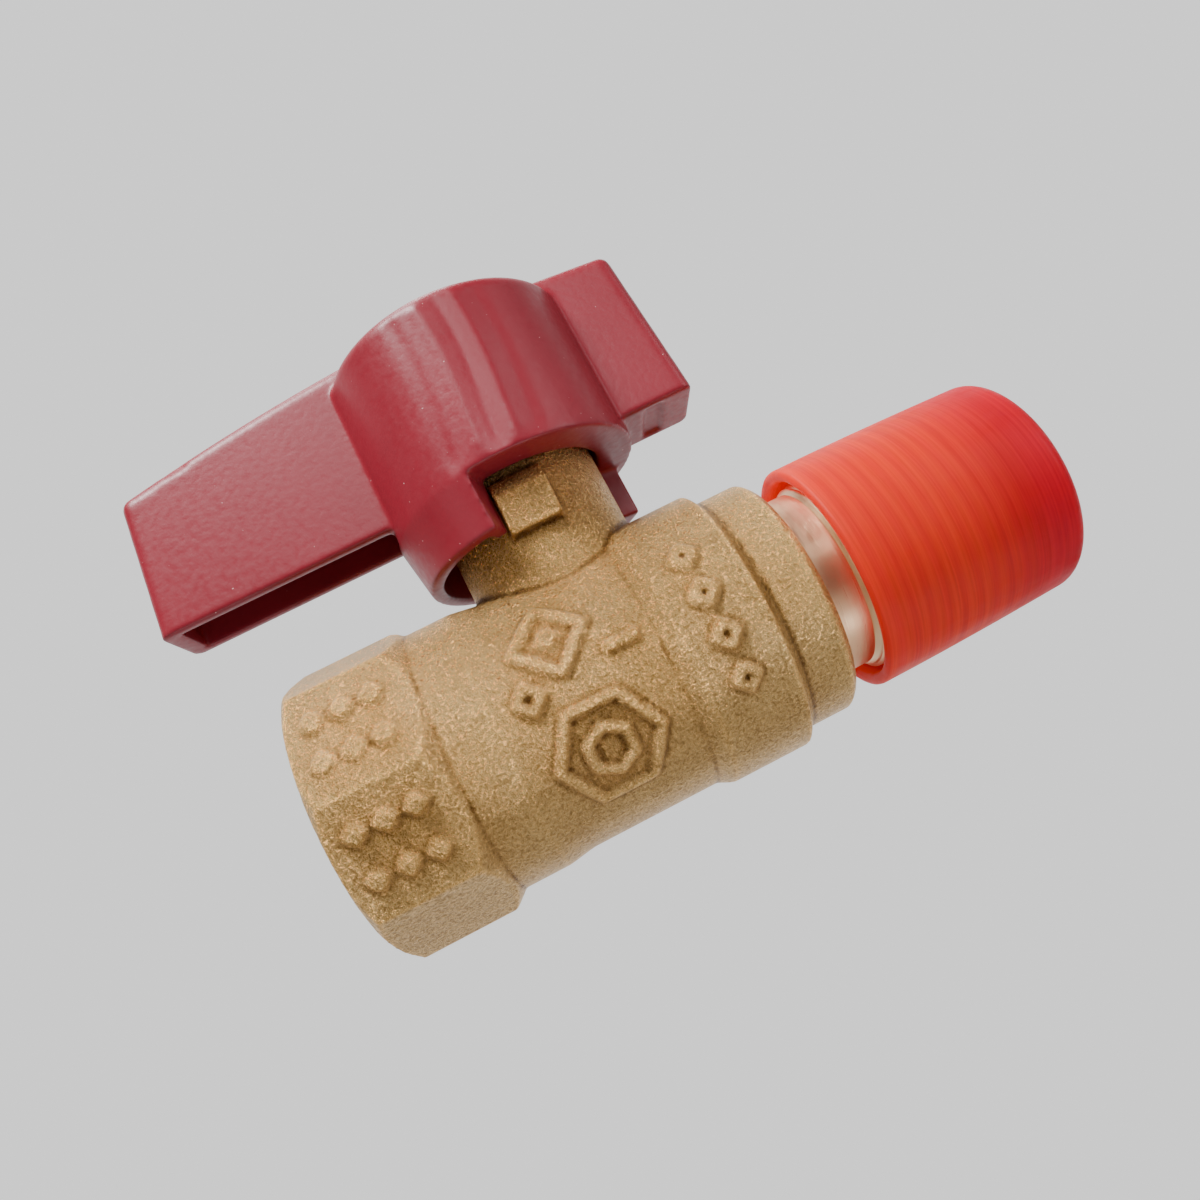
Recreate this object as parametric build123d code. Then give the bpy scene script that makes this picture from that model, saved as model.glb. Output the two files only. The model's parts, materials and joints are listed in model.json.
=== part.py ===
from build123d import *
import os
import math

os.makedirs("parts", exist_ok=True)

# Gas ball valve, 1/2 inch female pipe inlet by 1/2 inch flare outlet.
# Millimetres. Origin at the centre of the inlet mouth, +X along the flow, +Z up the stem.

# ---- driving dimensions: body ----
STEM_X = 26.2                 # stem axis, measured from the inlet face
OCT_FLATS = 25.4              # wrench octagon, across flats
OCT_LENGTH = 10.3
OCT_CONE_R = 12.35            # radius at which the octagon's end cone starts
OCT_END_CHAMFER = 1.0
NECK_R = 12.45
NECK_END = 15.6
CHAMBER_R = 12.05
CHAMBER_START = 18.1
CHAMBER_END = 30.4
BAND_R = 12.7
BAND_START = 31.2
BAND_END = 39.7
BAND_EDGE = 0.6               # how far the band's first edge is rounded off
BAND_EDGE_DROP = 0.25
BAND_FALL_START = 0.5         # the band falls to the collar between these two distances from its end
BAND_FALL_END = 0.3
COLLAR_R = 11.5
BODY_END = 44.7
COLLAR_CHAMFER = 0.6
OUTLET_CHAMFER = 0.8
INLET_R = 9.6                 # mean wall radius of the tapped inlet
INLET_DEPTH = 13.2
PORT_R = 5.0                  # 10 mm full port
THROAT_R = 5.3                # passage between the inlet and the ball's cavity
CAVITY_R = 8.6
CAVITY_START = 17.7
THREAD_BORE_R = 9.2           # tapped bore that takes the adapter
BONNET_R = 8.1
BONNET_TOP = 24.4
STEM_HOLE_R = 4.05
SHOULDER_POCKET_R = 5.9
SHOULDER_POCKET_TOP = 10.4
LUG_WIDTH = 4.9               # stop lug on the front of the bonnet
LUG_ROOT_Y = -5.0             # inside the bonnet
LUG_FOOT_Y = -8.9
LUG_CREST_Y = -9.7            # proudest line of the lug
LUG_CREST_Z = 17.7
LUG_HEAD_Y = -8.5
LUG_BOTTOM = 14.3
LUG_TOP = 19.4

# ---- driving dimensions: flare adapter ----
ADAPTER_START = 34.7
ADAPTER_R = 9.18
NECK_GROOVE_R = 8.7           # machined undercut beside the collar
NECK_GROOVE_END = 48.0
FLARE_THREAD_R = 9.525        # 3/4-16 thread, major radius
FLARE_THREAD_END = 61.2
NOSE_END = 64.3
NOSE_TIP_R = 6.4
UNDERCUT_START = 0.8          # the undercut falls in between these two distances inside the collar
UNDERCUT_FULL = 0.3
FLARE_THREAD_CHAMFER = 0.8
NOSE_STEP = 0.9
ADAPTER_ORING_X = 37.1
ADAPTER_GROOVE_HALF = 0.65
ADAPTER_GROOVE_DEPTH = 1.02

# ---- driving dimensions: ball, seats and stem ----
BALL_R = 8.0
SEAT_GAP = 0.02
SEAT_OUTER_R = 8.5
SEAT_LIP = 4.7                # distance from the ball centre to the seat's inner edge
SEAT_BORE_R = 5.1
SLOT_WIDTH = 3.1
SLOT_REACH = 9.0              # past the ball's surface
SLOT_FLOOR = 5.9
STEM_R = 4.0
SHOULDER_R = 5.6
SHOULDER_BOTTOM = 8.6
SHOULDER_TOP = 10.0
TANG_THICK = 3.0
TANG_R = 4.5                  # clears the seats when the stem is turned
TANG_ROOT = 0.2               # how far the tang runs into the shoulder
TANG_FLOOR = 6.1
STEM_SQUARE = 5.6
SQUARE_BOTTOM = 25.6
STEM_TOP = 32.2
STEM_SQUARE_CORNER_R = 3.6
STEM_SCREW_R = 1.65
STEM_SCREW_DEPTH = 7.5
ORING_R = 0.5
ORING_GROOVE_HALF = 0.65
ORING_GROOVE_R = 2.98
ORING_HEIGHTS = {"stem_oring_lower": 14.5, "stem_oring_upper": 18.5}

# ---- driving dimensions: handle ----
HUB_R = 12.3
HUB_BOTTOM = 20.1
HUB_TOP = 37.1
HUB_BORE_R = 8.55             # clears the bonnet
WEB_BOTTOM = 26.0             # web that sits on the stem
WEB_TOP = 31.6
SKIRT_BOTTOM = 14.8
SKIRT_BOTTOM_R = 11.4
SKIRT_RELIEF_R = 10.1         # hollow between skirt and bonnet, between its thick ends
SKIRT_RELIEF_DEG = (42.0, 245.0)
SKIRT_THIN_R = 11.0           # the skirt is thinner at its outlet end
SKIRT_THIN_END_DEG = 34.0
SKIRT_GAP_DEG = (-107.5, 18.0)  # open arc beside the stop lug, counted from the outlet side
WING_HALF = 4.06
WING_WALL = 1.25
WING_UNDER = 21.5
LONG_WING = 34.7
SHORT_WING = 19.4
LONG_WING_TIP_TOP = 35.6
LONG_WING_CROWN = 0.7         # how far the long wing's top bows up between its ends
LONG_WING_HUB_TOP = 39.6
SHORT_WING_TOP = 38.0
SCREW_RECESS_R = 4.9
HUB_EDGE = 1.2                # rounding of the hub's top
WING_EDGE = 1.1
LONG_WING_LEAN = 1.0          # how far each tip leans back at its top
SHORT_WING_LEAN = -1.0
CHANNEL_TIP = 1.5             # wall thicknesses round the open channel under the long wing
CHANNEL_HUB = 1.0
CHANNEL_TIP_ROOF = 2.2
CHANNEL_HUB_ROOF = 2.6
CHANNEL_LEAN = 0.6
GATE_NOTCH_FROM_STEM = (14.2, 16.3)   # shallow notch under the short wing
GATE_NOTCH_HALF = 3.2
GATE_NOTCH_DEPTH = 0.4
DRIVE_PLAY = 0.1
DRIVE_CORNER_R = 3.65

# ---- driving dimensions: handle screw and lock washer ----
SCREW_HEAD_GAP = 1.0          # filled by the lock washer
SCREW_HEAD_HEIGHT = 2.4
SCREW_HEAD_R = 3.9
SCREW_HEAD_EDGE = 1.0
SCREW_R = 1.6
SCREW_LENGTH = 6.5
SCREW_CROSS = (4.2, 0.9, 3.2)
WASHER_R = 3.6
WASHER_BORE_R = 1.9
WASHER_PLAY = 0.05
WASHER_SPLIT_HALF = 0.4

# ---- driving dimensions: protector cap ----
CAP_RIM = 47.8
CAP_END = 68.9
CAP_RIM_R = 11.1
CAP_STEP = 58.9
CAP_MID_R = 10.95
CAP_TAPER_END = 66.6
CAP_TAPER_R = 10.55
CAP_WALL = 1.2
CAP_END_RADIUS = 1.7
CAP_STEP_LENGTH = 0.8
CAP_END_DROP = 0.4

AXIS_Z_AT_STEM = Location((STEM_X, 0, 0))


def turned(points):
    """Solid of revolution about the flow axis from (x, radius) points."""
    face = make_face(Polyline(*[(x, r, 0) for x, r in points], close=True))
    return revolve(face, Axis.X, 360)


def rod_x(x0, x1, radius):
    """Cylinder along the flow axis between two stations."""
    return Pos((x0 + x1) / 2, 0, 0) * Rot(0, 90, 0) * Cylinder(radius, x1 - x0)


def post(z0, z1, radius):
    """Cylinder along the stem axis between two heights."""
    return Pos(STEM_X, 0, (z0 + z1) / 2) * Cylinder(radius, z1 - z0)


def block(x0, x1, y0, y1, z0, z1):
    """Box between two opposite corners."""
    centre = ((x0 + x1) / 2, (y0 + y1) / 2, (z0 + z1) / 2)
    return Pos(*centre) * Box(x1 - x0, y1 - y0, z1 - z0)


def save(shape, node):
    """Write one sub-part under its node name."""
    shape.label = node
    export_step(shape, f"parts/{node}.step")


# ---- valve body ----
def make_body():
    """Forged body: octagon, neck, chamber, band, collar, bonnet and stop lug."""
    barrel = turned([
        (0.5, 0), (0.5, NECK_R), (NECK_END, NECK_R), (CHAMBER_START, CHAMBER_R),
        (CHAMBER_END, CHAMBER_R), (BAND_START, BAND_R - BAND_EDGE_DROP), (BAND_START + BAND_EDGE, BAND_R),
        (BAND_END - BAND_FALL_START, BAND_R), (BAND_END + BAND_FALL_END, COLLAR_R),
        (BODY_END - COLLAR_CHAMFER, COLLAR_R), (BODY_END, COLLAR_R - COLLAR_CHAMFER), (BODY_END, 0),
    ])
    corner_r = OCT_FLATS / 2 / math.cos(math.pi / 8)
    octagon = extrude(Plane.YZ * RegularPolygon(corner_r, 8), OCT_LENGTH + OCT_END_CHAMFER)
    end_cones = turned([
        (0, 0), (0, OCT_FLATS / 2 - 0.1), (OCT_END_CHAMFER, corner_r + 0.1),
        (OCT_LENGTH - 0.7, corner_r + 0.1),
        (OCT_LENGTH + OCT_END_CHAMFER, OCT_CONE_R), (OCT_LENGTH + OCT_END_CHAMFER, 0),
    ])
    bonnet = post(0, BONNET_TOP, BONNET_R)
    body = barrel + (octagon & end_cones) + bonnet
    lug_side = make_face(Polyline(
        (0, LUG_ROOT_Y, LUG_BOTTOM), (0, LUG_FOOT_Y, LUG_BOTTOM), (0, LUG_CREST_Y, LUG_CREST_Z),
        (0, LUG_HEAD_Y, LUG_TOP), (0, LUG_ROOT_Y, LUG_TOP), close=True))
    body += Pos(STEM_X, 0, 0) * extrude(lug_side, LUG_WIDTH / 2, dir=(1, 0, 0), both=True)

    inlet = rod_x(-1, INLET_DEPTH, INLET_R)
    port = rod_x(0, BODY_END, THROAT_R)
    cavity = rod_x(CAVITY_START, ADAPTER_START + 1, CAVITY_R)
    cavity += rod_x(ADAPTER_START, BODY_END + 1, THREAD_BORE_R)
    outlet_chamfer = turned([
        (BODY_END + 0.1 - OUTLET_CHAMFER, 0), (BODY_END + 0.1 - OUTLET_CHAMFER, THREAD_BORE_R),
        (BODY_END + 0.1, THREAD_BORE_R + OUTLET_CHAMFER), (BODY_END + 0.1, 0),
    ])
    stem_hole = post(5, BONNET_TOP + 1, STEM_HOLE_R)
    pocket = post(2, SHOULDER_POCKET_TOP, SHOULDER_POCKET_R)
    return body - inlet - port - cavity - outlet_chamfer - stem_hole - pocket


# ---- flare adapter ----
def make_adapter():
    """Outlet piece screwed into the body: O-ring groove, undercut, thread and 45 degree nose."""
    cone_end = NECK_GROOVE_END + FLARE_THREAD_R - NECK_GROOVE_R
    groove_r = ADAPTER_R - ADAPTER_GROOVE_DEPTH
    groove_start = ADAPTER_ORING_X - ADAPTER_GROOVE_HALF
    groove_end = ADAPTER_ORING_X + ADAPTER_GROOVE_HALF
    groove = [
        (groove_start, ADAPTER_R), (groove_start, groove_r), (groove_end, groove_r), (groove_end, ADAPTER_R),
    ]
    outer = turned([
        (ADAPTER_START, 0), (ADAPTER_START, ADAPTER_R), *groove,
        (BODY_END - UNDERCUT_START, ADAPTER_R), (BODY_END - UNDERCUT_FULL, NECK_GROOVE_R),
        (NECK_GROOVE_END, NECK_GROOVE_R), (cone_end, FLARE_THREAD_R),
        (FLARE_THREAD_END - FLARE_THREAD_CHAMFER, FLARE_THREAD_R),
        (FLARE_THREAD_END, FLARE_THREAD_R - NOSE_STEP),
        (NOSE_END, NOSE_TIP_R), (NOSE_END, 0),
    ])
    bore = rod_x(ADAPTER_START - 1, NOSE_END + 1, PORT_R)
    return outer - bore


def make_seat():
    """Moulded inlet seat ring whose lip follows the ball."""
    ring = rod_x(CAVITY_START + SEAT_GAP, STEM_X - SEAT_LIP, SEAT_OUTER_R)
    ring -= rod_x(0, NOSE_END, SEAT_BORE_R)
    return ring - AXIS_Z_AT_STEM * Sphere(BALL_R + SEAT_GAP)


def make_ball():
    """Ported ball with the stem slot across its top."""
    ball = AXIS_Z_AT_STEM * Sphere(BALL_R) - rod_x(0, NOSE_END, PORT_R)
    slot = block(STEM_X - SLOT_WIDTH / 2, STEM_X + SLOT_WIDTH / 2, -SLOT_REACH, SLOT_REACH,
                 SLOT_FLOOR, SLOT_REACH)
    return ball - slot


def make_stem():
    """Blow-out-proof stem: tang, shoulder, two O-ring grooves, square drive, screw hole."""
    tang_root = SHOULDER_BOTTOM + TANG_ROOT
    tang = block(STEM_X - TANG_THICK / 2, STEM_X + TANG_THICK / 2, -SHOULDER_R, SHOULDER_R,
                 TANG_FLOOR, tang_root)
    tang &= post(TANG_FLOOR, tang_root, TANG_R)
    shoulder = post(SHOULDER_BOTTOM, SHOULDER_TOP, SHOULDER_R)
    square = block(STEM_X - STEM_SQUARE / 2, STEM_X + STEM_SQUARE / 2, -STEM_SQUARE / 2, STEM_SQUARE / 2,
                   SQUARE_BOTTOM, STEM_TOP)
    square &= post(SQUARE_BOTTOM, STEM_TOP, STEM_SQUARE_CORNER_R)
    stem = tang + shoulder + post(SHOULDER_TOP, SQUARE_BOTTOM, STEM_R) + square
    for height in ORING_HEIGHTS.values():
        band = post(height - ORING_GROOVE_HALF, height + ORING_GROOVE_HALF, STEM_R + 1)
        stem -= band - post(0, STEM_TOP, ORING_GROOVE_R)
    return stem - post(STEM_TOP - STEM_SCREW_DEPTH, STEM_TOP + 1, STEM_SCREW_R)


# ---- handle ----
def make_wing_plate(x_tip, x_hub, half, z_under, z_tip, z_hub, tip_lean, crown=0.0):
    """Upright plate in the XZ plane, from the hub out to the wing tip; crown bows its top edge up."""
    tip_top, hub_top = (x_tip + tip_lean, 0, z_tip), (x_hub, 0, z_hub)
    outline = Polyline(hub_top, (x_hub, 0, z_under), (x_tip, 0, z_under), tip_top)
    if crown:
        middle = ((tip_top[0] + hub_top[0]) / 2, 0, (z_tip + z_hub) / 2 + crown)
        outline += ThreePointArc(tip_top, middle, hub_top)
    else:
        outline += Line(tip_top, hub_top)
    return extrude(make_face(outline), half, dir=(0, 1, 0), both=True)


def sector(first, last, z0, z1):
    """Wedge about the stem axis between two angles, wider than the hub."""
    reach = 2.5 * HUB_R
    steps = 8
    rim = []
    for i in range(steps + 1):
        angle = math.radians(first + (last - first) * i / steps)
        rim.append((STEM_X + reach * math.cos(angle), reach * math.sin(angle)))
    return Pos(0, 0, z0) * extrude(make_face(Polyline((STEM_X, 0), *rim, close=True)), z1 - z0)


def make_handle():
    """Die-cast hollow handle: hub, long open wing, short wing and the stop skirt."""
    hub = fillet(post(HUB_BOTTOM, HUB_TOP, HUB_R).edges().sort_by(Axis.Z)[-1], HUB_EDGE)
    skirt = Pos(STEM_X, 0, (SKIRT_BOTTOM + HUB_BOTTOM) / 2) * Cone(
        SKIRT_BOTTOM_R, HUB_R, HUB_BOTTOM - SKIRT_BOTTOM)
    long_wing = make_wing_plate(
        STEM_X - LONG_WING, STEM_X, WING_HALF, WING_UNDER, LONG_WING_TIP_TOP, LONG_WING_HUB_TOP,
        LONG_WING_LEAN, LONG_WING_CROWN)
    short_wing = make_wing_plate(
        STEM_X + SHORT_WING, STEM_X, WING_HALF, WING_UNDER, SHORT_WING_TOP, LONG_WING_HUB_TOP,
        SHORT_WING_LEAN)
    long_wing = fillet(long_wing.edges().filter_by(
        lambda e: e.center().X < STEM_X - 2 and e.center().Z > WING_UNDER + 1), WING_EDGE)
    short_wing = fillet(short_wing.edges().filter_by(
        lambda e: e.center().X > STEM_X + 2 and e.center().Z > WING_UNDER + 1), WING_EDGE)
    handle = hub + skirt + long_wing + short_wing

    # space cut away beside the stop lug, so that the skirt is a C in plan
    first, last = SKIRT_GAP_DEG
    handle -= sector(first, last, SKIRT_BOTTOM - 1, HUB_BOTTOM)
    handle -= sector(last, SKIRT_THIN_END_DEG, SKIRT_BOTTOM - 1, HUB_BOTTOM) - post(0, HUB_TOP, SKIRT_THIN_R)

    handle -= sector(*SKIRT_RELIEF_DEG, SKIRT_BOTTOM - 1, HUB_BOTTOM + 2) & post(0, HUB_TOP, SKIRT_RELIEF_R)
    handle -= post(0, WEB_BOTTOM, HUB_BORE_R)
    handle -= post(WEB_TOP, HUB_TOP + 5, SCREW_RECESS_R)
    inner = WING_HALF - WING_WALL
    channel = make_wing_plate(
        STEM_X - LONG_WING + CHANNEL_TIP, STEM_X - HUB_R + CHANNEL_HUB, inner, WING_UNDER - 1,
        LONG_WING_TIP_TOP - CHANNEL_TIP_ROOF, LONG_WING_HUB_TOP - CHANNEL_HUB_ROOF, CHANNEL_LEAN)
    near, far = GATE_NOTCH_FROM_STEM
    notch = block(STEM_X + near, STEM_X + far, -GATE_NOTCH_HALF, GATE_NOTCH_HALF,
                  WING_UNDER - 1, WING_UNDER + GATE_NOTCH_DEPTH)
    handle = handle - channel - notch
    half = (STEM_SQUARE + DRIVE_PLAY) / 2
    drive = block(STEM_X - half, STEM_X + half, -half, half, WEB_BOTTOM - 1, WEB_TOP + 1)
    return handle - (drive & post(0, HUB_TOP, DRIVE_CORNER_R))


def make_screw():
    """Pan head screw that holds the handle on the stem, with a cross recess."""
    z_head = STEM_TOP + SCREW_HEAD_GAP
    z_top = z_head + SCREW_HEAD_HEIGHT
    head = fillet(post(z_head, z_top, SCREW_HEAD_R).edges().sort_by(Axis.Z)[-1], SCREW_HEAD_EDGE)
    length, width, depth = SCREW_CROSS
    recess = Box(length, width, depth) + Box(width, length, depth)
    return head + post(STEM_TOP - SCREW_LENGTH, z_head, SCREW_R) - Pos(STEM_X, 0, z_top + 0.2) * recess


def make_lock_washer():
    """Split lock washer under the screw head."""
    top = STEM_TOP + SCREW_HEAD_GAP
    ring = post(STEM_TOP + WASHER_PLAY, top - WASHER_PLAY, WASHER_R) - post(0, HUB_TOP, WASHER_BORE_R)
    return ring - block(STEM_X, STEM_X + HUB_R, -WASHER_SPLIT_HALF, WASHER_SPLIT_HALF, STEM_TOP, top)


def make_cap():
    """Push-on protector cap: open rim, slight taper, domed end."""
    outer = turned([
        (CAP_RIM, 0), (CAP_RIM, CAP_RIM_R), (CAP_STEP, CAP_RIM_R), (CAP_STEP + CAP_STEP_LENGTH, CAP_MID_R),
        (CAP_TAPER_END, CAP_TAPER_R), (CAP_END, CAP_TAPER_R - CAP_END_DROP), (CAP_END, 0),
    ])
    outer = fillet(outer.edges().sort_by(Axis.X)[-1], CAP_END_RADIUS)
    inner_mid = CAP_MID_R - CAP_WALL + 0.05
    inner = turned([
        (CAP_RIM - 1, 0), (CAP_RIM - 1, CAP_RIM_R - CAP_WALL), (CAP_STEP, CAP_RIM_R - CAP_WALL),
        (CAP_STEP + CAP_STEP_LENGTH, inner_mid), (CAP_TAPER_END, CAP_TAPER_R - CAP_WALL),
        (CAP_END - CAP_WALL, CAP_TAPER_R - CAP_WALL - 0.3), (CAP_END - CAP_WALL, 0),
    ])
    inner = fillet(inner.edges().sort_by(Axis.X)[-1], CAP_END_RADIUS - CAP_WALL)
    return outer - inner


def make_oring(x, z, section, radius, along_flow):
    """O-ring of the given section about the flow axis or the stem axis."""
    turn = Rot(0, 90, 0) if along_flow else Rot(0, 0, 0)
    return Pos(x, 0, z) * turn * Torus(radius, section)


save(make_body(), "valve_body")
save(make_adapter(), "flare_adapter")
save(make_oring(ADAPTER_ORING_X, 0, ORING_R, ADAPTER_R - ORING_R, True), "body_joint_oring")
inlet_seat = make_seat()
save(inlet_seat, "seat_ring_inlet")
save(mirror(inlet_seat, about=Plane.YZ.offset(STEM_X)), "seat_ring_outlet")
save(make_ball(), "ball")
save(make_stem(), "stem")
washer = post(SHOULDER_TOP + 0.02, SHOULDER_POCKET_TOP - 0.02, SHOULDER_R) - post(0, HUB_TOP, STEM_R + 0.05)
save(washer, "stem_thrust_washer")
for name, height in ORING_HEIGHTS.items():
    save(make_oring(STEM_X, height, ORING_R, STEM_R - ORING_R, False), name)
save(make_handle(), "handle")
save(make_screw(), "handle_screw")
save(make_lock_washer(), "handle_lock_washer")
save(make_cap(), "protector_cap")
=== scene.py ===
import json
import math

import bmesh
import bpy
import numpy as np
from mathutils import Matrix, Vector


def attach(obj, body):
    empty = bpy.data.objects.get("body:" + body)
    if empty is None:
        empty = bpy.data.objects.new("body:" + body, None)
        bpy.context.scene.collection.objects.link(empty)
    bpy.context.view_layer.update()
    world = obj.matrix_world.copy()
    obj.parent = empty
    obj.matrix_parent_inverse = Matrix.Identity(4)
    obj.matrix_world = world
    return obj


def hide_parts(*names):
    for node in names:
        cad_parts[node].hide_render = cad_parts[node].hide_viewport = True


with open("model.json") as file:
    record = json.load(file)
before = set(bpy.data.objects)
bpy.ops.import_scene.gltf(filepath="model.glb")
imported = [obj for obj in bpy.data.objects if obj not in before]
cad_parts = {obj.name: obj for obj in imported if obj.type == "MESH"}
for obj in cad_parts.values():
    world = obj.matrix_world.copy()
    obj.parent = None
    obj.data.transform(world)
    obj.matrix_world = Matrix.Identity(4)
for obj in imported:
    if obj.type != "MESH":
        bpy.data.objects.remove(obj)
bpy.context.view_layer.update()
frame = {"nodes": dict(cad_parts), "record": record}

MM = 0.001

# Sizes of the CAD nodes that the pieces below follow, in mm.
STEM_X = 26.2
OCT_FLATS = 25.4
CHAMBER_R = 12.05
BAND_R = 12.7

FLARE_PITCH = 1.5875              # 3/4-16; the painted rings on the cap repeat at it too


# ---------- shader helpers ----------
class Mat:
    """A material with short calls for adding and joining nodes."""

    def __init__(self, name):
        self.mat = bpy.data.materials.new(name)
        self.mat.use_nodes = True
        self.tree = self.mat.node_tree
        self.tree.nodes.clear()
        self.out = self.add("ShaderNodeOutputMaterial")
        self.bsdf = self.add("ShaderNodeBsdfPrincipled")
        self.link(self.bsdf, "BSDF", self.out, "Surface")
        self.coords = self.add("ShaderNodeTexCoord")

    def add(self, kind, **values):
        node = self.tree.nodes.new(kind)
        for key, value in values.items():
            setattr(node, key, value)
        return node

    def link(self, a, out, b, into):
        self.tree.links.new(a.outputs[out], b.inputs[into])

    def noise(self, scale, detail=4.0, rough=0.6, stretch=None):
        """Noise in object space; scale is in features per metre."""
        node = self.add("ShaderNodeTexNoise")
        node.inputs["Scale"].default_value = scale
        node.inputs["Detail"].default_value = detail
        node.inputs["Roughness"].default_value = rough
        if stretch:
            mapping = self.add("ShaderNodeMapping")
            mapping.inputs["Scale"].default_value = stretch
            self.link(self.coords, "Object", mapping, "Vector")
            self.link(mapping, "Vector", node, "Vector")
        else:
            self.link(self.coords, "Object", node, "Vector")
        return node

    def ramp(self, source, stops, out="Fac"):
        node = self.add("ShaderNodeValToRGB")
        ramp = node.color_ramp
        while len(ramp.elements) < len(stops):
            ramp.elements.new(0.5)
        for element, (pos, colour) in zip(ramp.elements, stops):
            element.position = pos
            element.color = colour if len(colour) == 4 else (*colour, 1.0)
        self.link(source, out, node, "Fac")
        return node

    def range(self, source, lo, hi, to_lo, to_hi, out="Fac"):
        node = self.add("ShaderNodeMapRange")
        node.inputs["From Min"].default_value = lo
        node.inputs["From Max"].default_value = hi
        node.inputs["To Min"].default_value = to_lo
        node.inputs["To Max"].default_value = to_hi
        self.link(source, out, node, "Value")
        return node

    def mix(self, kind, factor, a, a_out, b=None, b_out="Color", colour=None, amount=0.5):
        """Mix two colours; factor is a (node, output) pair or None for a fixed amount."""
        node = self.add("ShaderNodeMix", data_type="RGBA", blend_type=kind)
        if factor:
            self.tree.links.new(factor[0].outputs[factor[1]], node.inputs[0])
        else:
            node.inputs[0].default_value = amount
        self.tree.links.new(a.outputs[a_out], node.inputs[6])
        if b:
            self.tree.links.new(b.outputs[b_out], node.inputs[7])
        else:
            node.inputs[7].default_value = (*colour, 1.0)
        return node

    def bump(self, source, out, distance, strength=1.0, under=None):
        node = self.add("ShaderNodeBump")
        node.inputs["Strength"].default_value = strength
        node.inputs["Distance"].default_value = distance
        self.link(source, out, node, "Height")
        if under:
            self.link(under, "Normal", node, "Normal")
        return node

    def set(self, **values):
        for key, value in values.items():
            self.bsdf.inputs[key.replace("_", " ")].default_value = value


def forged_brass():
    """Shot-blasted forged brass: tan gold, crisp grain, painted shade in the creases, painted
    highlight on the raised tops.
    """
    m = Mat("forged_brass")
    grain = m.noise(3500, 4.0, 0.70)
    pits = m.noise(6500, 2.0, 0.6)
    dents = m.noise(900, 3.0, 0.6)
    cloud = m.noise(110, 5.0, 0.6)
    base = m.ramp(cloud, [
        (0.25, (0.52, 0.31, 0.105)), (0.55, (0.62, 0.385, 0.145)), (0.8, (0.74, 0.48, 0.20))])
    grain_tone = m.ramp(grain, [
        (0.36, (0.50, 0.43, 0.35)), (0.48, (0.97, 0.95, 0.92)), (0.62, (1.30, 1.28, 1.24))])
    toned = m.mix("MULTIPLY", None, base, "Color", grain_tone, "Color", amount=0.85)
    relief = m.add("ShaderNodeAttribute", attribute_name="relief")
    # Painted shade and highlight: darker where the relief height says crease, lighter where it says
    # ridge.
    crease_shade_ridge_highlight = m.ramp(relief, [
        (0.10, (0.30, 0.22, 0.15)), (0.38, (0.93, 0.91, 0.89)), (0.56, (1.0, 1.0, 1.0)),
        (0.85, (1.30, 1.28, 1.24))])
    crease_shaded = m.mix("MULTIPLY", None, toned, 2, crease_shade_ridge_highlight, "Color", amount=0.95)
    m.tree.links.new(crease_shaded.outputs[2], m.bsdf.inputs["Base Color"])
    rough = m.range(grain, 0.36, 0.64, 0.42, 0.17)
    m.link(rough, "Result", m.bsdf, "Roughness")
    soft = m.bump(dents, "Fac", 0.0004, 0.5)
    fine = m.bump(pits, "Fac", 0.0001, 0.6, soft)
    coarse = m.bump(grain, "Fac", 0.00034, 0.9, fine)
    m.link(coarse, "Normal", m.bsdf, "Normal")
    m.set(Metallic=1.0)
    return m.mat


def turned_brass():
    """Lathe-cut brass: fine rings round the flow axis, pink-gold."""
    m = Mat("turned_brass")
    rings = m.noise(900, 3.0, 0.7, (12.0, 0.15, 0.15))
    cloud = m.noise(160, 4.0, 0.6)
    base = m.ramp(cloud, [(0.3, (0.90, 0.60, 0.34)), (0.7, (0.98, 0.72, 0.45))])
    m.link(base, "Color", m.bsdf, "Base Color")
    rough = m.range(rings, 0.3, 0.7, 0.26, 0.42)
    m.link(rough, "Result", m.bsdf, "Roughness")
    m.link(m.bump(rings, "Fac", 0.00005, 0.5), "Normal", m.bsdf, "Normal")
    m.set(Metallic=1.0)
    return m.mat


def powder_coat():
    """Satin crimson powder coat with slight orange peel and dust specks."""
    m = Mat("red_powder_coat")
    peel = m.noise(1500, 2.0, 0.5)
    cloud = m.noise(70, 4.0, 0.55)
    specks = m.noise(3200, 1.0, 0.4)
    base = m.ramp(cloud, [(0.3, (0.255, 0.013, 0.025)), (0.7, (0.30, 0.018, 0.033))])
    spots = m.ramp(specks, [(0.79, (0, 0, 0)), (0.82, (1, 1, 1))])
    dusted = m.mix("MIX", (spots, "Color"), base, "Color", colour=(0.72, 0.36, 0.36))
    m.tree.links.new(dusted.outputs[2], m.bsdf.inputs["Base Color"])
    rough = m.range(peel, 0.3, 0.7, 0.34, 0.46)
    m.link(rough, "Result", m.bsdf, "Roughness")
    m.link(m.bump(peel, "Fac", 0.00007, 0.35), "Normal", m.bsdf, "Normal")
    m.set(Metallic=0.0, Specular_IOR_Level=0.42, Coat_Weight=0.08, Coat_Roughness=0.3)
    return m.mat


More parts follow.
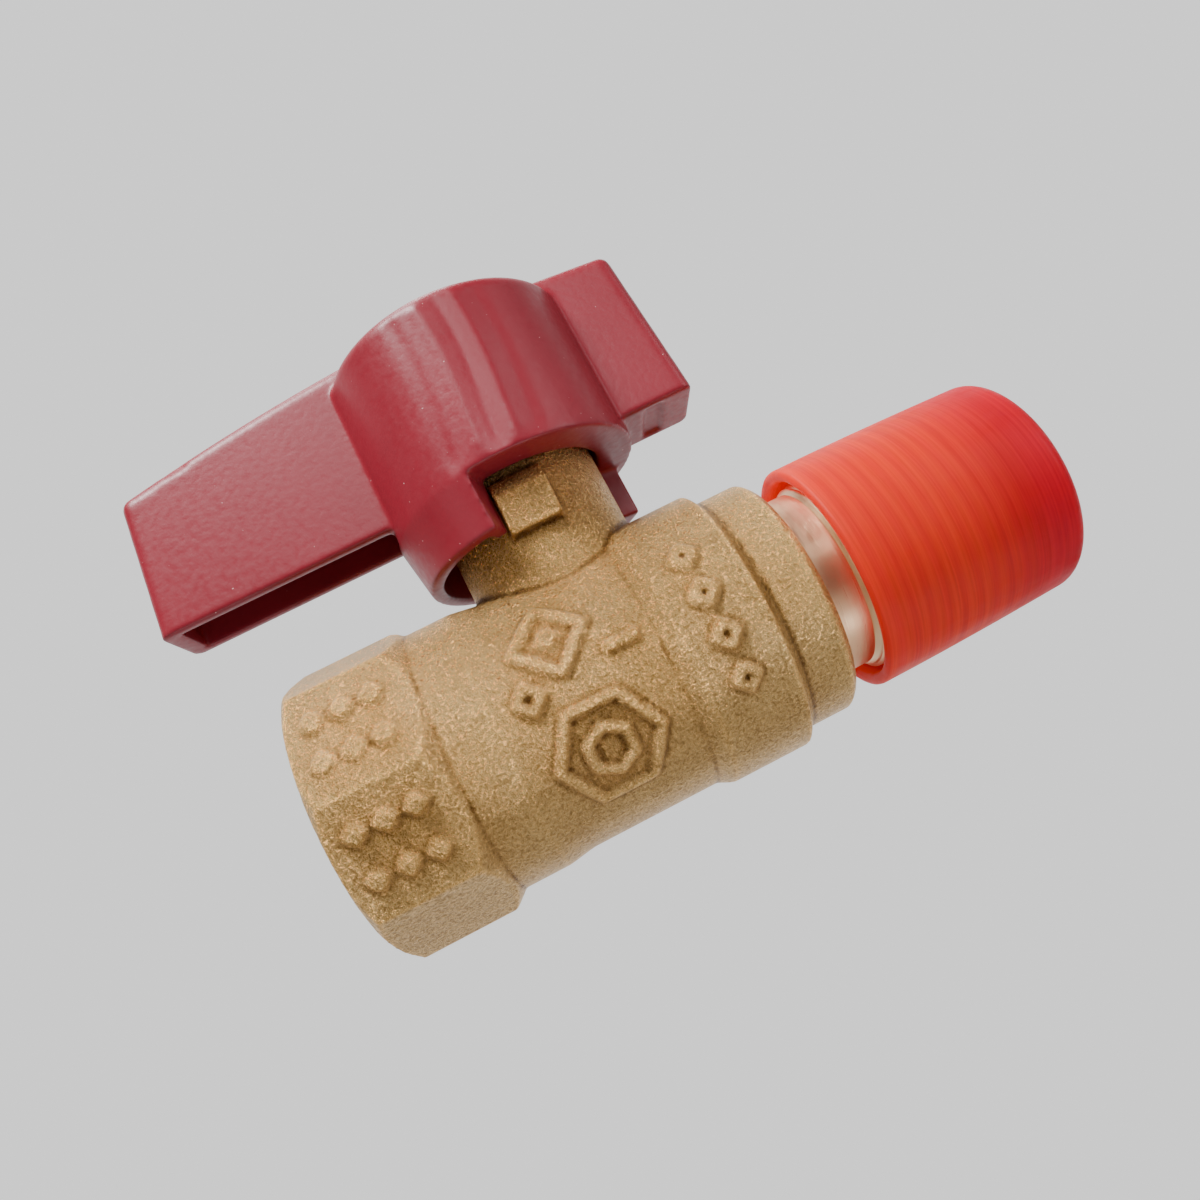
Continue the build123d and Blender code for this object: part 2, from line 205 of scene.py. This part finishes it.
def cap_plastic():
    """Translucent red polyethylene: a painted orange glow over the thread, crossed by faint painted
    rings for the lit thread seen through the wall, with scuffs.
    """
    m = Mat("red_cap_plastic")
    split = m.add("ShaderNodeSeparateXYZ")
    m.link(m.coords, "Object", split, "Vector")
    # Mask over the thread, where a painted orange glow stands for light coming back through the
    # wall.
    over_thread = m.range(split, 0.0560, 0.0675, 1.0, 0.0, "X")
    over_thread.interpolation_type = "SMOOTHSTEP"
    rings = m.add("ShaderNodeTexWave", wave_type="BANDS", bands_direction="X", wave_profile="SIN")
    m.link(m.coords, "Object", rings, "Vector")
    rings.inputs["Scale"].default_value = 2 * math.pi / 20 / (FLARE_PITCH * MM)
    rings.inputs["Distortion"].default_value = 0.35
    rings.inputs["Detail Scale"].default_value = 300.0
    scuff = m.noise(520, 6.0, 0.72, (0.3, 1.0, 1.0))
    hair = m.noise(700, 3.0, 0.6, (6.0, 0.12, 0.12))
    cloud = m.noise(120, 4.0, 0.5)
    red = m.ramp(cloud, [(0.3, (0.66, 0.002, 0.022)), (0.7, (0.80, 0.004, 0.032))])
    painted_glow_mask = m.add("ShaderNodeMath", operation="MULTIPLY")
    m.link(over_thread, "Result", painted_glow_mask, 0)
    # Painted rings: the glow banded at the thread's pitch, standing for the lit thread seen
    # through.
    painted_thread_rings = m.range(rings, 0.0, 1.0, 0.66, 1.0)
    m.link(painted_thread_rings, "Result", painted_glow_mask, 1)
    painted_glow = m.mix("MIX", (painted_glow_mask, 0), red, "Color", colour=(0.99, 0.055, 0.016))
    hair_tone = m.ramp(hair, [(0.35, (0.84, 0.84, 0.84)), (0.65, (1.08, 1.08, 1.08))])
    tone = m.mix("MULTIPLY", None, painted_glow, 2, hair_tone, "Color", amount=0.8)
    m.tree.links.new(tone.outputs[2], m.bsdf.inputs["Base Color"])
    rough = m.range(scuff, 0.38, 0.66, 0.30, 0.52)
    m.link(rough, "Result", m.bsdf, "Roughness")
    ring_bump = m.bump(hair, "Fac", 0.00005, 0.35)
    m.link(m.bump(scuff, "Fac", 0.00007, 0.35, ring_bump), "Normal", m.bsdf, "Normal")
    m.set(IOR=1.45, Subsurface_Weight=0.5, Subsurface_Scale=0.0016, Specular_IOR_Level=0.22)
    m.bsdf.inputs["Subsurface Radius"].default_value = (1.0, 0.2, 0.08)
    through = m.add("ShaderNodeBsdfTranslucent")
    m.tree.links.new(tone.outputs[2], through.inputs["Color"])
    clear = m.add("ShaderNodeBsdfTransparent")
    clear.inputs["Color"].default_value = (0.95, 0.13, 0.04, 1)
    inner = m.add("ShaderNodeMixShader")
    inner.inputs[0].default_value = 0.5
    m.tree.links.new(through.outputs[0], inner.inputs[1])
    m.tree.links.new(clear.outputs[0], inner.inputs[2])
    skin = m.add("ShaderNodeMixShader")
    skin.inputs[0].default_value = 0.36
    m.tree.links.new(m.bsdf.outputs[0], skin.inputs[1])
    m.tree.links.new(inner.outputs[0], skin.inputs[2])
    m.tree.links.new(skin.outputs[0], m.out.inputs["Surface"])
    return m.mat


def plain(name, colour, metallic, rough_lo, rough_hi, grain=1200, depth=0.00003):
    """Simple worn finish for small inner pieces."""
    m = Mat(name)
    cloud = m.noise(grain, 4.0, 0.6)
    low = tuple(c * 0.86 for c in colour)
    base = m.ramp(cloud, [(0.3, low), (0.7, colour)])
    m.link(base, "Color", m.bsdf, "Base Color")
    rough = m.range(cloud, 0.3, 0.7, rough_lo, rough_hi)
    m.link(rough, "Result", m.bsdf, "Roughness")
    m.link(m.bump(cloud, "Fac", depth, 0.4), "Normal", m.bsdf, "Normal")
    m.set(Metallic=metallic)
    return m.mat


MATS = {
    "forged_brass": forged_brass(),
    "turned_brass": turned_brass(),
    "red_powder_coat": powder_coat(),
    "red_cap_plastic": cap_plastic(),
    "black_rubber": plain("black_rubber", (0.02, 0.02, 0.02), 0.0, 0.45, 0.6),
    "white_ptfe": plain("white_ptfe", (0.86, 0.86, 0.83), 0.0, 0.4, 0.55),
    "chromed_ball": plain("chromed_ball", (0.78, 0.78, 0.80), 1.0, 0.04, 0.12),
    "zinc_steel": plain("zinc_steel", (0.62, 0.63, 0.62), 1.0, 0.25, 0.42),
}
NODE_SLOT = {s["node"]: s["material_slot"] for s in frame["record"]["subparts"]}
for node, obj in frame["nodes"].items():
    for material_slot in obj.material_slots:
        material_slot.material = MATS[NODE_SLOT[node]]


# ---------- mesh helpers ----------
def new_object(name, mesh, slot_name, body):
    obj = bpy.data.objects.new(name, mesh)
    bpy.context.scene.collection.objects.link(obj)
    mesh.materials.clear()
    mesh.materials.append(MATS[slot_name])
    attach(obj, body)
    return obj


def bake(obj):
    """Apply every modifier and return the resulting mesh; obj is removed."""
    bpy.context.view_layer.update()
    graph = bpy.context.evaluated_depsgraph_get()
    mesh = bpy.data.meshes.new_from_object(obj.evaluated_get(graph))
    bpy.data.objects.remove(obj)
    return mesh


def softened(node, voxel, passes, faces, extra=()):
    """CAD node plus extra solids, fused by an even remesh, smoothed so that edges are rounded."""
    bm = bmesh.new()
    bm.from_mesh(frame["nodes"][node].data)
    for solid in extra:
        bm.from_mesh(solid)
    mesh = bpy.data.meshes.new(node + "_soft")
    bm.to_mesh(mesh)
    bm.free()
    obj = with_mesh(mesh)
    remesh = obj.modifiers.new("even", "REMESH")
    remesh.mode = "VOXEL"
    remesh.voxel_size = voxel
    smooth = obj.modifiers.new("soft", "SMOOTH")
    smooth.factor = 0.5
    smooth.iterations = passes
    mesh = bake(obj)
    obj = with_mesh(mesh)
    thin = obj.modifiers.new("thin", "DECIMATE")
    thin.ratio = min(1.0, faces / (2.0 * len(mesh.polygons)))
    mesh = bake(obj)
    mesh.shade_smooth()
    return mesh


def mark_relief(mesh, rounds, span):
    """Store each vertex's height over its smoothed surroundings.
    0 is deep in a crease, 0.5 level and 1 on a ridge."""
    count = len(mesh.vertices)
    co = np.empty(count * 3)
    mesh.vertices.foreach_get("co", co)
    co = co.reshape(-1, 3)
    normals = np.empty(count * 3)
    mesh.vertex_normals.foreach_get("vector", normals)
    ends = np.empty(len(mesh.edges) * 2, dtype=np.int32)
    mesh.edges.foreach_get("vertices", ends)
    first, second = ends.reshape(-1, 2).T
    degree = np.bincount(ends, minlength=count)
    level = co.copy()
    for _ in range(rounds):
        sums = [np.bincount(first, level[second, k], count)
                + np.bincount(second, level[first, k], count) for k in range(3)]
        level = np.stack(sums, axis=1) / degree[:, None]
    height = ((co - level) * normals.reshape(-1, 3)).sum(axis=1)
    layer = mesh.attributes.new("relief", "FLOAT", "POINT")
    layer.data.foreach_set("value", np.clip(0.5 + height / span / 2, 0, 1).astype(np.float32))


def with_mesh(mesh):
    obj = bpy.data.objects.new("tmp", mesh)
    bpy.context.scene.collection.objects.link(obj)
    return obj


def lathe(name, profile, segments, thread=None):
    """Closed solid of revolution about the flow axis from (x, r) points in mm.
    thread = (x0, x1, pitch, depth) cuts a helical groove into points marked with a third value."""
    verts, faces = [], []
    count = len(profile)
    for i in range(segments):
        turn = 2 * math.pi * i / segments
        for point in profile:
            x, r = point[0], point[1]
            if thread and len(point) > 2:
                r -= thread_depth(x, turn, *thread)
            verts.append((x * MM, r * math.cos(turn) * MM, r * math.sin(turn) * MM))
    for i in range(segments):
        j = (i + 1) % segments
        for k in range(count):
            n = (k + 1) % count
            faces.append((i * count + k, i * count + n, j * count + n, j * count + k))
    mesh = bpy.data.meshes.new(name)
    mesh.from_pydata(verts, [], faces)
    bm = bmesh.new()
    bm.from_mesh(mesh)
    bmesh.ops.recalc_face_normals(bm, faces=bm.faces)
    bm.to_mesh(mesh)
    bm.free()
    mesh.shade_smooth()
    mesh.set_sharp_from_angle(angle=math.radians(38))
    return mesh


def thread_depth(x, turn, x0, x1, pitch, depth):
    """Depth of a rounded V thread at a station and turn, fading out at both ends."""
    flat, fade_length = 0.12, 0.5
    phase = (x / pitch - turn / (2 * math.pi)) % 1.0
    groove = 1 - abs(2 * phase - 1)
    groove = min(1.0, max(0.0, (groove - flat) / (1 - 2 * flat)))
    fade_in = min(1.0, max(0.0, (x - x0) / fade_length))
    fade_out = min(1.0, max(0.0, (x1 - x) / fade_length))
    return depth * groove * fade_in * fade_out


def stroke(points, thickness, closed=False):
    """Mesh of a round raised line through points in mm."""
    data = bpy.data.curves.new("stroke", "CURVE")
    data.dimensions = "3D"
    data.bevel_depth = thickness / 2 * MM
    data.bevel_resolution = 2
    data.use_fill_caps = True
    spline = data.splines.new("POLY")
    spline.points.add(len(points) - 1)
    for target, p in zip(spline.points, points):
        target.co = (p[0] * MM, p[1] * MM, p[2] * MM, 1)
    spline.use_cyclic_u = closed
    obj = bpy.data.objects.new("stroke", data)
    bpy.context.scene.collection.objects.link(obj)
    return bake(obj)


# ---------- raised marks: plain polygons and bars only ----------
MARK = 1.15                       # thickness of a raised line
EDGE_STEPS = 6                    # points along each side of a polygon
BAR_STEPS = 8
BAND_STUDS_X = 35.2
BAND_STUDS_DEG = (24, 7, -10, -27)
FLAT_STUDS_X = 5.2
FLAT_DEG = (22.5, -22.5)          # the octagon's two flats that face the front
FLAT_ROWS = (-2.0, 2.0)
STUD_SPACING = 2.6


def on_barrel(radius, x, angle_deg):
    """Maps (along, around) mm to the barrel's surface near a station; angle 0 faces the front."""
    def place(u, w):
        a = math.radians(angle_deg) + w / radius
        return (x + u, -radius * math.cos(a), radius * math.sin(a))
    return place


def on_flat(x, angle_deg, lift):
    """Maps (along, across) mm to the octagon's flat whose normal is angle_deg above the front."""
    a = math.radians(angle_deg)
    inner = OCT_FLATS / 2
    cos, sin = math.cos(a), math.sin(a)

    def place(u, w):
        across = w + lift
        return (x + u, -inner * cos + across * sin, inner * sin + across * cos)
    return place


def between(a, b, steps):
    """Evenly spaced (u, w) points from a to b, both ends included."""
    return [(a[0] + (b[0] - a[0]) * i / steps, a[1] + (b[1] - a[1]) * i / steps)
            for i in range(steps + 1)]


def polygon(place, r, sides, turn=0.0):
    """Raised outline of a regular polygon, its straight sides laid along the curved surface."""
    corners = []
    for i in range(sides + 1):
        a = turn + 2 * math.pi * i / sides
        corners.append((r * math.cos(a), r * math.sin(a)))
    pts = []
    for a, b in zip(corners, corners[1:]):
        pts += between(a, b, EDGE_STEPS)[:-1]
    return stroke([place(u, w) for u, w in pts], MARK, True)


def bar(place, a, b):
    """Raised straight line between two (along, around) points."""
    return stroke([place(u, w) for u, w in between(a, b, BAR_STEPS)], MARK)


def shifted(place, du):
    """The same surface map moved along the flow."""
    return lambda u, w: place(u + du, w)


def body_marks():
    """Generic raised shapes where the forging carries its marks: polygons, studs and a dash."""
    upper = on_barrel(CHAMBER_R, 22.3, 20)
    lower = on_barrel(CHAMBER_R, 23.1, -29)
    marks = [polygon(upper, 3.2, 4), polygon(upper, 0.55, 4)]
    marks.append(bar(on_barrel(CHAMBER_R, 27.6, 6), (-1.5, 0), (1.5, 0)))
    marks.append(polygon(on_barrel(CHAMBER_R, 18.9, 1), 1.1, 4))
    marks += [polygon(lower, 4.5, 6), polygon(lower, 2.0, 6, math.pi / 6)]
    for angle in BAND_STUDS_DEG:
        marks.append(polygon(on_barrel(BAND_R, BAND_STUDS_X, angle), 0.95, 4))
    for angle in FLAT_DEG:
        for row in FLAT_ROWS:
            flat = on_flat(FLAT_STUDS_X, angle, row)
            for k in (-1, 0, 1):
                marks.append(polygon(shifted(flat, STUD_SPACING * k), 0.55, 4))
    return marks


def inlet_thread():
    """Helical ridge that cuts the tapped inlet into turns; pitch of 1/2 inch pipe thread."""
    pitch, centre_r, turns = 1.814, 9.85, 6.6
    start, ridge = 0.9, 1.3
    steps = int(turns * 60)
    pts = []
    for i in range(steps + 1):
        turned = turns * i / steps
        a = 2 * math.pi * turned
        pts.append((start + pitch * turned, centre_r * math.cos(a), centre_r * math.sin(a)))
    return stroke(pts, ridge)


# ---------- body ----------
BODY_VOXEL, BODY_PASSES, BODY_FACES = 0.00022, 2, 190000
RELIEF_ROUNDS, RELIEF_SPAN = 5, 0.00011
body_extras = body_marks() + [inlet_thread()]
body_mesh = softened("valve_body", BODY_VOXEL, BODY_PASSES, BODY_FACES, body_extras)
# These heights feed the painted crease shade and ridge highlight in forged_brass.
mark_relief(body_mesh, RELIEF_ROUNDS, RELIEF_SPAN)
body = new_object("body_forging", body_mesh, "forged_brass", "body")
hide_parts("valve_body")

# ---------- handle ----------
HANDLE_VOXEL, HANDLE_PASSES, HANDLE_FACES = 0.00024, 7, 150000
# Soft upright ridges and valleys: degrees from the front, height in mm, half width in degrees.
HUB_RIDGES = (
    (-6.7, 0.16, 3.2), (10.2, 0.13, 3.0),
    (-19.0, -0.12, 3.5), (2.0, -0.10, 2.6), (19.0, -0.12, 3.5))
RIDGE_R, RIDGE_R_HALF = 12.2, 0.45          # only vertices this near to this radius move
RIDGE_BOTTOM, RIDGE_TOP, RIDGE_FADE = 20.3, 37, 1.5
RIDGE_SWAY_DEG, RIDGE_SWAY_HEIGHT = 2, 4.0


def ridge_hub(mesh):
    """Push the hub's front skin in and out along its ridges, as cast."""
    for vertex in mesh.vertices:
        x, y = vertex.co.x / MM - STEM_X, vertex.co.y / MM
        z = vertex.co.z / MM
        r = math.hypot(x, y)
        if y > 0 or abs(r - RIDGE_R) > RIDGE_R_HALF or not RIDGE_BOTTOM < z < RIDGE_TOP:
            continue
        angle = math.degrees(math.atan2(x, -y))
        sway = RIDGE_SWAY_DEG * math.sin(z / RIDGE_SWAY_HEIGHT)
        push = sum(h * math.exp(-((angle - a - sway) / w) ** 2) for a, h, w in HUB_RIDGES)
        fade = min(1.0, (z - RIDGE_BOTTOM) / RIDGE_FADE, (RIDGE_TOP - z) / RIDGE_FADE)
        scale = 1 + push * fade / r
        vertex.co.x = (STEM_X + x * scale) * MM
        vertex.co.y = y * scale * MM


handle_mesh = softened("handle", HANDLE_VOXEL, HANDLE_PASSES, HANDLE_FACES)
ridge_hub(handle_mesh)
handle = new_object("handle_casting", handle_mesh, "red_powder_coat", "handle_set")
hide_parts("handle")


# ---------- flare adapter with its real thread ----------
FLARE_R, UNDERCUT_R, UNDERCUT_END = 9.525, 8.7, 48.0
FLARE_GROOVE = (48.4, 61.1, FLARE_PITCH, 0.95)      # first and last station, pitch, depth


def adapter_profile():
    """(x, r) loop of the adapter; points with a third value carry the thread."""
    outer = [(34.7, 5.2), (34.7, 9.0), (34.9, 9.18), (36.4, 9.18), (36.45, 8.16), (37.75, 8.16),
             (37.8, 9.18), (43.95, 9.18), (44.1, 9.05), (44.25, 8.78), (44.5, UNDERCUT_R),
             (UNDERCUT_END, UNDERCUT_R)]
    start, stop = 48.1, 60.9
    steps = int((stop - start) / 0.1)
    for i in range(steps + 1):
        x = start + (stop - start) * i / steps
        outer.append((x, min(FLARE_R, UNDERCUT_R + x - UNDERCUT_END), True))
    nose = [(61.2, 8.7), (61.4, 8.5), (64.2, 6.1), (64.3, 5.9), (64.3, 5.2), (64.1, 5.0)]
    return outer + nose + [(34.9, 5.0)]


adapter_mesh = lathe("adapter", adapter_profile(), 144, FLARE_GROOVE)
adapter = new_object("adapter_turned", adapter_mesh, "turned_brass", "body")
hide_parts("flare_adapter")


# ---------- cap ----------
BARREL_START, BARREL_LENGTH, BARREL_R, BARREL_TAPER = 49.2, 17.9, 11.08, 0.50


def cap_profile():
    """(x, r) loop of the cap: rolled rim, barrel, slow taper, rounded corner, faintly domed end."""
    outer = [(48.0, 10.1), (47.86, 10.3), (47.8, 10.55), (47.86, 10.85), (48.03, 11.03),
             (48.3, 11.1), (BARREL_START, BARREL_R)]
    for i in range(1, 20):
        x = BARREL_START + BARREL_LENGTH * i / 19
        outer.append((x, BARREL_R - BARREL_TAPER * ((x - BARREL_START) / BARREL_LENGTH) ** 1.6))
    for i in range(1, 11):
        a = math.pi / 2 * i / 10
        outer.append((67.1 + 1.55 * math.sin(a), 8.98 + 1.6 * math.cos(a)))
    outer += [(68.78, 6.5), (68.88, 3.0), (68.9, 0.02)]
    inner = [(67.7, 0.02), (67.7, 8.5)]
    for i in range(1, 7):
        a = math.pi / 2 * (1 - i / 7)
        inner.append((66.9 + 0.75 * math.sin(a), 8.75 + 0.6 * math.cos(a)))
    return outer + inner + [(66.3, 9.4), (59.7, 9.7), (58.9, 9.85), (48.6, 9.88), (48.2, 9.98)]


cap_mesh = lathe("cap", cap_profile(), 160)
cap = new_object("cap_shell", cap_mesh, "red_cap_plastic", "cap")
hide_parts("protector_cap")


# ---------- stage ----------
def plate(name, corners, material):
    mesh = bpy.data.meshes.new(name)
    mesh.from_pydata(corners, [], [(0, 1, 2, 3)])
    obj = bpy.data.objects.new(name, mesh)
    bpy.context.scene.collection.objects.link(obj)
    mesh.materials.append(material)


FLOOR, FLOOR_Z = 1.1, -0.7        # half width and height, in metres
floor_mat = plain("pale_floor", (0.92, 0.92, 0.92), 0.0, 0.7, 0.85, 6, 0.0002)
plate("floor", [(-FLOOR, -FLOOR, FLOOR_Z), (FLOOR, -FLOOR, FLOOR_Z),
                (FLOOR, FLOOR, FLOOR_Z), (-FLOOR, FLOOR, FLOOR_Z)], floor_mat)

world = bpy.data.worlds.new("studio")
bpy.context.scene.world = world
world.use_nodes = True
sky = world.node_tree
background = sky.nodes["Background"]
# Dim in front, so the brass keeps its contrast; bright behind, as a pale backdrop.
direction = sky.nodes.new("ShaderNodeTexCoord")
split = sky.nodes.new("ShaderNodeSeparateXYZ")
sky.links.new(direction.outputs["Generated"], split.inputs[0])
behind = sky.nodes.new("ShaderNodeMapRange")
behind.inputs["From Min"].default_value = -0.1
behind.inputs["From Max"].default_value = 0.45
behind.inputs["To Min"].default_value = 0.10
behind.inputs["To Max"].default_value = 1.15
behind.interpolation_type = "SMOOTHSTEP"
sky.links.new(split.outputs["Y"], behind.inputs["Value"])
sky.links.new(behind.outputs[0], background.inputs["Strength"])
background.inputs[0].default_value = (1, 1, 1, 1)

CENTRE = Vector((STEM_X * MM, 0, 0.010))


def softbox(name, position, size, power):
    """Rectangular light aimed at the valve; metres and watts."""
    data = bpy.data.lights.new(name, "AREA")
    data.shape = "RECTANGLE"
    data.size, data.size_y = size
    data.energy = power
    obj = bpy.data.objects.new(name, data)
    bpy.context.scene.collection.objects.link(obj)
    obj.location = position
    obj.rotation_euler = (CENTRE - Vector(position)).to_track_quat("-Z", "Y").to_euler()


softbox("key", (-0.09, -0.23, 0.37), (0.17, 0.13), 3.3)
softbox("top", (0.0, 0.02, 0.42), (0.30, 0.12), 0.9)
softbox("front", (0.06, -0.45, 0.22), (0.12, 0.08), 0.42)
softbox("side", (-0.38, -0.30, -0.05), (0.10, 0.30), 0.15)
softbox("fill", (0.42, -0.26, 0.10), (0.20, 0.35), 0.6)
softbox("under", (0.05, -0.12, -0.30), (0.35, 0.10), 0.2)

# ---------- camera: close, slightly below, rolled ----------
CAM_POS = Vector((STEM_X - 5.14, -85.83, -11.89)) * MM
CAM_RIGHT = Vector((0.89154, 0.02462, -0.45228))
CAM_UP = Vector((0.44475, -0.23666, 0.86382))
CAM_BACK = Vector((-0.08577, -0.97128, -0.22194))
camera_data = bpy.data.cameras.new("camera")
camera = bpy.data.objects.new("camera", camera_data)
bpy.context.scene.collection.objects.link(camera)
camera.matrix_world = Matrix((
    (CAM_RIGHT.x, CAM_UP.x, CAM_BACK.x, CAM_POS.x),
    (CAM_RIGHT.y, CAM_UP.y, CAM_BACK.y, CAM_POS.y),
    (CAM_RIGHT.z, CAM_UP.z, CAM_BACK.z, CAM_POS.z),
    (0, 0, 0, 1)))
camera_data.sensor_width = 36
camera_data.lens = 28.277
camera_data.clip_start = 0.005
bpy.context.scene.camera = camera
